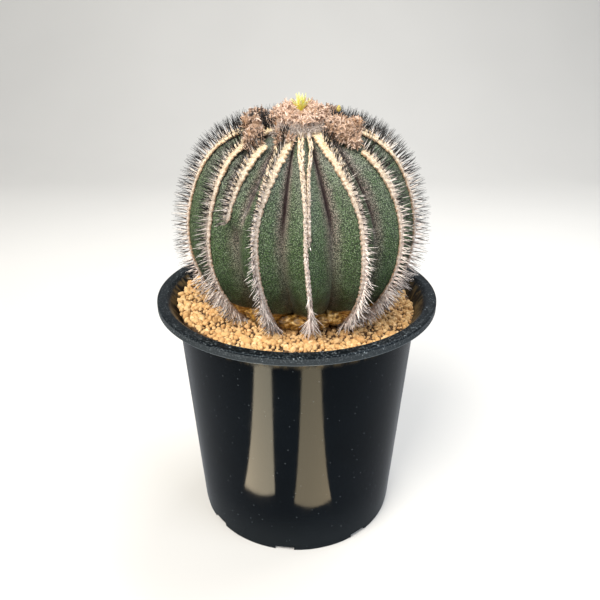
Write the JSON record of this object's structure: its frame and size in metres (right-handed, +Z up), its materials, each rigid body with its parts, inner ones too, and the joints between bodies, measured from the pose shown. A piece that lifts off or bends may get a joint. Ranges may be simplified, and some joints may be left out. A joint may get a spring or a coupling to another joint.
{
  "type": "potted cactus",
  "caption": "Ribbed globe cactus with comb-like spines, dried flower tufts and a small yellow flower, growing in gravel in a round tapered nursery pot.",
  "frame": {"origin": "centre of the pot's foot ring, on the surface it stands on", "axes": "+Z up along the pot's axis; -Y towards the front of the plant, +X to its right"},
  "size_m": [0.135, 0.135, 0.214],
  "materials": {
    "pot_plastic": "glossy moulded black plastic, dusty and scratched on the rim",
    "potting_mix": "dark granular potting mix",
    "akadama": "dry tan baked-clay granules",
    "stem_skin": "grey-green waxy plant skin with fine pale scales, corky brown at the base",
    "wool_and_spines": "cream wool with stiff spines, black near the crown and pinkish grey below",
    "dried_flowers": "matted brown wool and dried flowers",
    "petal": "soft pale yellow petals",
    "bud": "yellow-green closed bud"
  },
  "bodies": {
    "root": {"akadama_top_layer": "akadama", "cactus_stem": "stem_skin", "crown_tuft_back_1": "dried_flowers", "crown_tuft_back_2": "dried_flowers", "crown_tuft_centre": "dried_flowers", "crown_tuft_left": "dried_flowers", "crown_tuft_right": "dried_flowers", "crown_tuft_right_inner": "dried_flowers", "crown_tuft_small_1": "dried_flowers", "crown_tuft_small_2": "dried_flowers", "flower_bud": "bud", "flower_petal_inner_1": "petal", "flower_petal_inner_2": "petal", "flower_petal_inner_3": "petal", "flower_petal_inner_4": "petal", "flower_petal_inner_5": "petal", "flower_petal_outer_1": "petal", "flower_petal_outer_2": "petal", "flower_petal_outer_3": "petal", "flower_petal_outer_4": "petal", "flower_petal_outer_5": "petal", "flower_petal_outer_6": "petal", "flower_style": "petal", "flower_tube": "petal", "pot": "pot_plastic", "potting_mix": "potting_mix", "spine_comb_01": "wool_and_spines", "spine_comb_02": "wool_and_spines", "spine_comb_03": "wool_and_spines", "spine_comb_04": "wool_and_spines", "spine_comb_05": "wool_and_spines", "spine_comb_06": "wool_and_spines", "spine_comb_07": "wool_and_spines", "spine_comb_08": "wool_and_spines", "spine_comb_09": "wool_and_spines", "spine_comb_10": "wool_and_spines", "spine_comb_11": "wool_and_spines", "spine_comb_12": "wool_and_spines", "spine_comb_13": "wool_and_spines", "spine_comb_14": "wool_and_spines", "spine_comb_second_strand": "wool_and_spines", "spine_comb_short_rib": "wool_and_spines"}
  },
  "joints": []
}
